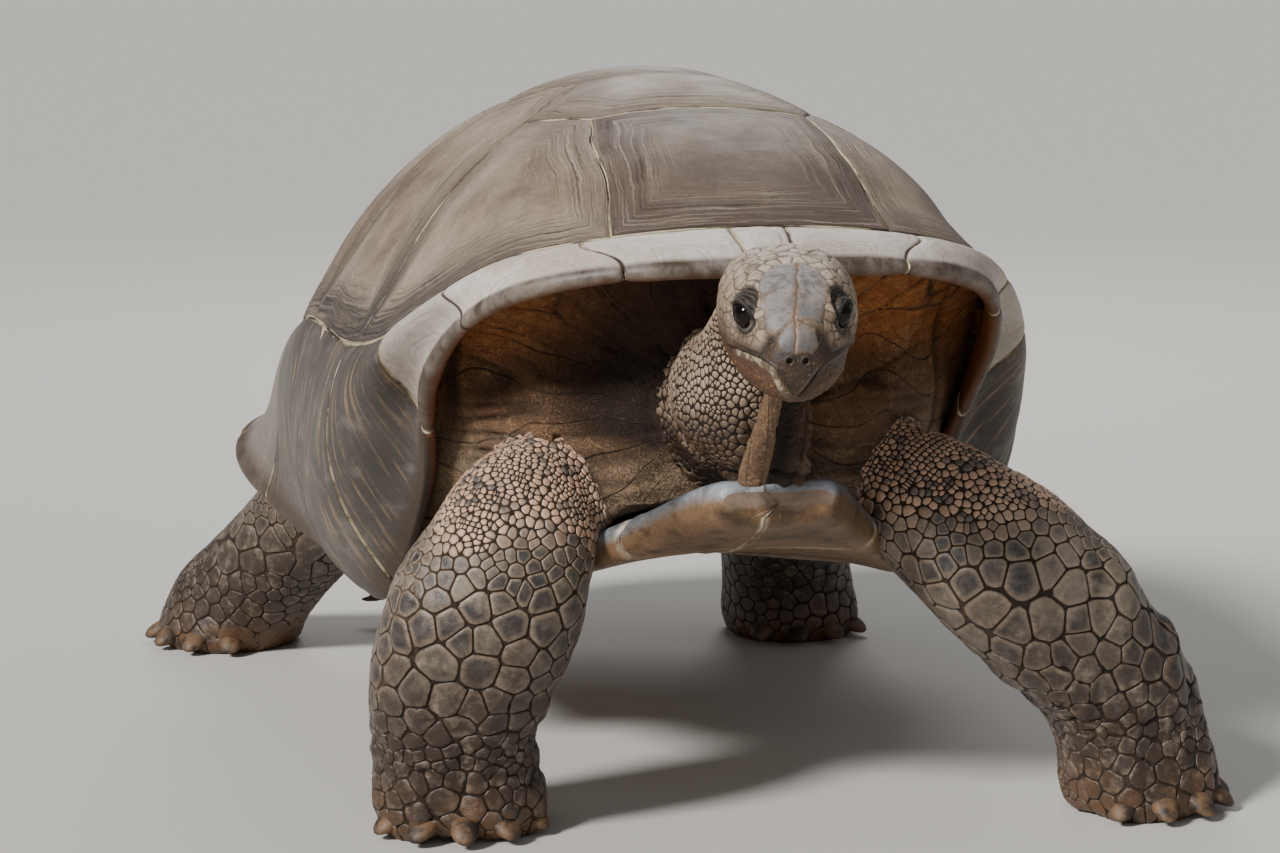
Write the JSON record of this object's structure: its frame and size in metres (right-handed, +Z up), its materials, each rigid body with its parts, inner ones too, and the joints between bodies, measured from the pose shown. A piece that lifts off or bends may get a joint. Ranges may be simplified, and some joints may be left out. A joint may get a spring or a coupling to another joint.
{
  "type": "aldabra giant tortoise",
  "caption": "Life-size still model of an Aldabra giant tortoise walking with its head raised: domed scute shell, plastron, scaled column legs with claws, folded neck.",
  "frame": {"origin": "middle of the underside of the box round the animal, at the level of the soles", "axes": "+Z up, -Y the way the animal faces, +X the animal's left"},
  "size_m": [0.9666, 1.3252, 0.6812],
  "materials": {
    "carapace_horn": "weathered horn scutes, brown-grey, with fine growth rings along the sutures",
    "marginal_horn": "weathered slate and tan horn with a worn rounded edge",
    "plastron_horn": "scuffed horn, slate on top and brown below",
    "skin": "folded leathery skin, orange brown in the folds",
    "leg_scales": "horny scales with slate centres, pale rims and muddy grooves",
    "head_scales": "smooth slate head plates and small pebbled scales",
    "eye": "wet dark brown eye"
  },
  "bodies": {
    "root": {"nuchal": "marginal_horn", "vertebral_1": "carapace_horn", "vertebral_2": "carapace_horn", "vertebral_3": "carapace_horn", "vertebral_4": "carapace_horn", "vertebral_5": "carapace_horn", "costal_right_1": "carapace_horn", "costal_right_2": "carapace_horn", "costal_right_3": "carapace_horn", "costal_right_4": "carapace_horn", "costal_left_1": "carapace_horn", "costal_left_2": "carapace_horn", "costal_left_3": "carapace_horn", "costal_left_4": "carapace_horn", "marginal_right_1": "marginal_horn", "marginal_right_2": "marginal_horn", "marginal_right_3": "marginal_horn", "marginal_right_4": "marginal_horn", "marginal_right_5": "marginal_horn", "marginal_right_6": "marginal_horn", "marginal_right_7": "marginal_horn", "marginal_right_8": "marginal_horn", "marginal_right_9": "marginal_horn", "marginal_right_10": "marginal_horn", "marginal_right_11": "marginal_horn", "marginal_left_1": "marginal_horn", "marginal_left_2": "marginal_horn", "marginal_left_3": "marginal_horn", "marginal_left_4": "marginal_horn", "marginal_left_5": "marginal_horn", "marginal_left_6": "marginal_horn", "marginal_left_7": "marginal_horn", "marginal_left_8": "marginal_horn", "marginal_left_9": "marginal_horn", "marginal_left_10": "marginal_horn", "marginal_left_11": "marginal_horn", "supracaudal": "marginal_horn", "plastron_gular": "plastron_horn", "plastron_humeral": "plastron_horn", "plastron_pectoral": "plastron_horn", "plastron_abdominal": "plastron_horn", "plastron_femoral": "plastron_horn", "plastron_anal": "plastron_horn", "trunk": "skin", "neck": "skin", "tail": "skin", "foreleg_right": "leg_scales", "foreleg_left": "leg_scales", "hindleg_right": "leg_scales", "hindleg_left": "leg_scales", "head": "head_scales", "lower_jaw": "head_scales", "eye_right": "eye", "eye_left": "eye"}
  },
  "joints": []
}
